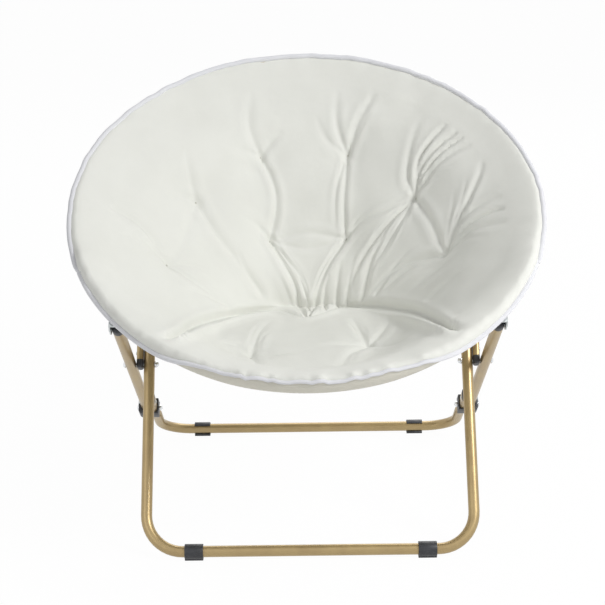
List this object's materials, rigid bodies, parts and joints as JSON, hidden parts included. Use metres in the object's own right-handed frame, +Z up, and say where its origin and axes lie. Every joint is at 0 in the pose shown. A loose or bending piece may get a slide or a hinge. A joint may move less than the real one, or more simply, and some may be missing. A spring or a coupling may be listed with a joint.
{
  "type": "folding saucer chair",
  "caption": "Folding saucer chair: round padded, tufted bucket seat on a hinged tubular ring, carried by two crossed U-shaped tube legs that fold together.",
  "frame": {"origin": "on the floor under the centre of the seat ring", "axes": "+Z up, +Y towards the back of the chair, +X to the right of someone who faces the chair"},
  "size_m": [0.812, 0.7128, 0.748],
  "materials": {
    "gold_steel": "satin gold paint on steel tube",
    "black_plastic": "moulded black plastic",
    "zinc": "bright zinc plating",
    "chrome": "polished plating",
    "fabric": "cream padded cotton, tufted, with pale piping"
  },
  "bodies": {
    "rear_hoop": {"back_pad": "fabric", "hinge_rear_leaf_left": "zinc", "hinge_rear_leaf_right": "zinc", "rear_clevis_left": "zinc", "rear_clevis_pin_left": "zinc", "rear_clevis_pin_right": "zinc", "rear_clevis_right": "zinc", "rear_hoop_tube": "gold_steel", "side_wing_left": "fabric", "side_wing_right": "fabric"},
    "front_hoop": {"front_clevis_left": "zinc", "front_clevis_pin_left": "zinc", "front_clevis_pin_right": "zinc", "front_clevis_right": "zinc", "front_hoop_tube": "gold_steel", "hinge_front_leaf_left": "zinc", "hinge_front_leaf_right": "zinc", "hinge_pin_left": "zinc", "hinge_pin_right": "zinc", "seat_pad": "fabric"},
    "front_leg": {"cross_bolt_left": "chrome", "cross_bolt_right": "chrome", "cross_dome_nut_left": "chrome", "cross_dome_nut_right": "chrome", "cross_rivet_left": "zinc", "cross_rivet_right": "zinc", "front_foot_left": "black_plastic", "front_foot_right": "black_plastic", "front_leg_top_plug_left": "black_plastic", "front_leg_top_plug_right": "black_plastic", "front_leg_u": "gold_steel", "upper_arm_left": "gold_steel", "upper_arm_low_plug_left": "black_plastic", "upper_arm_low_plug_right": "black_plastic", "upper_arm_right": "gold_steel", "upper_arm_top_plug_left": "black_plastic", "upper_arm_top_plug_right": "black_plastic"},
    "rear_leg": {"cross_head_left": "chrome", "cross_head_right": "chrome", "joint_block_left": "black_plastic", "joint_block_right": "black_plastic", "joint_bolt_left": "chrome", "joint_bolt_right": "chrome", "joint_dome_nut_left": "chrome", "joint_dome_nut_right": "chrome", "joint_rivet_left": "zinc", "joint_rivet_right": "zinc", "outer_arm_left": "gold_steel", "outer_arm_right": "gold_steel", "outer_arm_top_plug_left": "black_plastic", "outer_arm_top_plug_right": "black_plastic", "rear_foot_left": "black_plastic", "rear_foot_right": "black_plastic", "rear_leg_top_plug_left": "black_plastic", "rear_leg_top_plug_right": "black_plastic", "rear_leg_u": "gold_steel"}
  },
  "joints": [
    {"name": "ring_fold", "type": "hinge", "parent": "rear_hoop", "child": "front_hoop", "pos_m": [0, -0.13464, 0.483], "axis": [-1, 0, 0], "range_deg": [0, 160], "deforming": ["side_wing_left", "side_wing_right"]},
    {"name": "front_leg_fold", "type": "hinge", "parent": "rear_hoop", "child": "front_leg", "pos_m": [0, 0.18597, 0.61178], "axis": [-1, 0, 0], "range_deg": [0, 27.1]},
    {"name": "rear_leg_fold", "type": "hinge", "parent": "front_hoop", "child": "rear_leg", "pos_m": [0, -0.20584, 0.3946], "axis": [1, 0, 0], "range_deg": [0, 80.8]}
  ],
  "couplings": [
    {"joint": "front_leg_fold", "follows": "ring_fold", "ratio": 0.16906},
    {"joint": "rear_leg_fold", "follows": "ring_fold", "ratio": 0.50456}
  ]
}
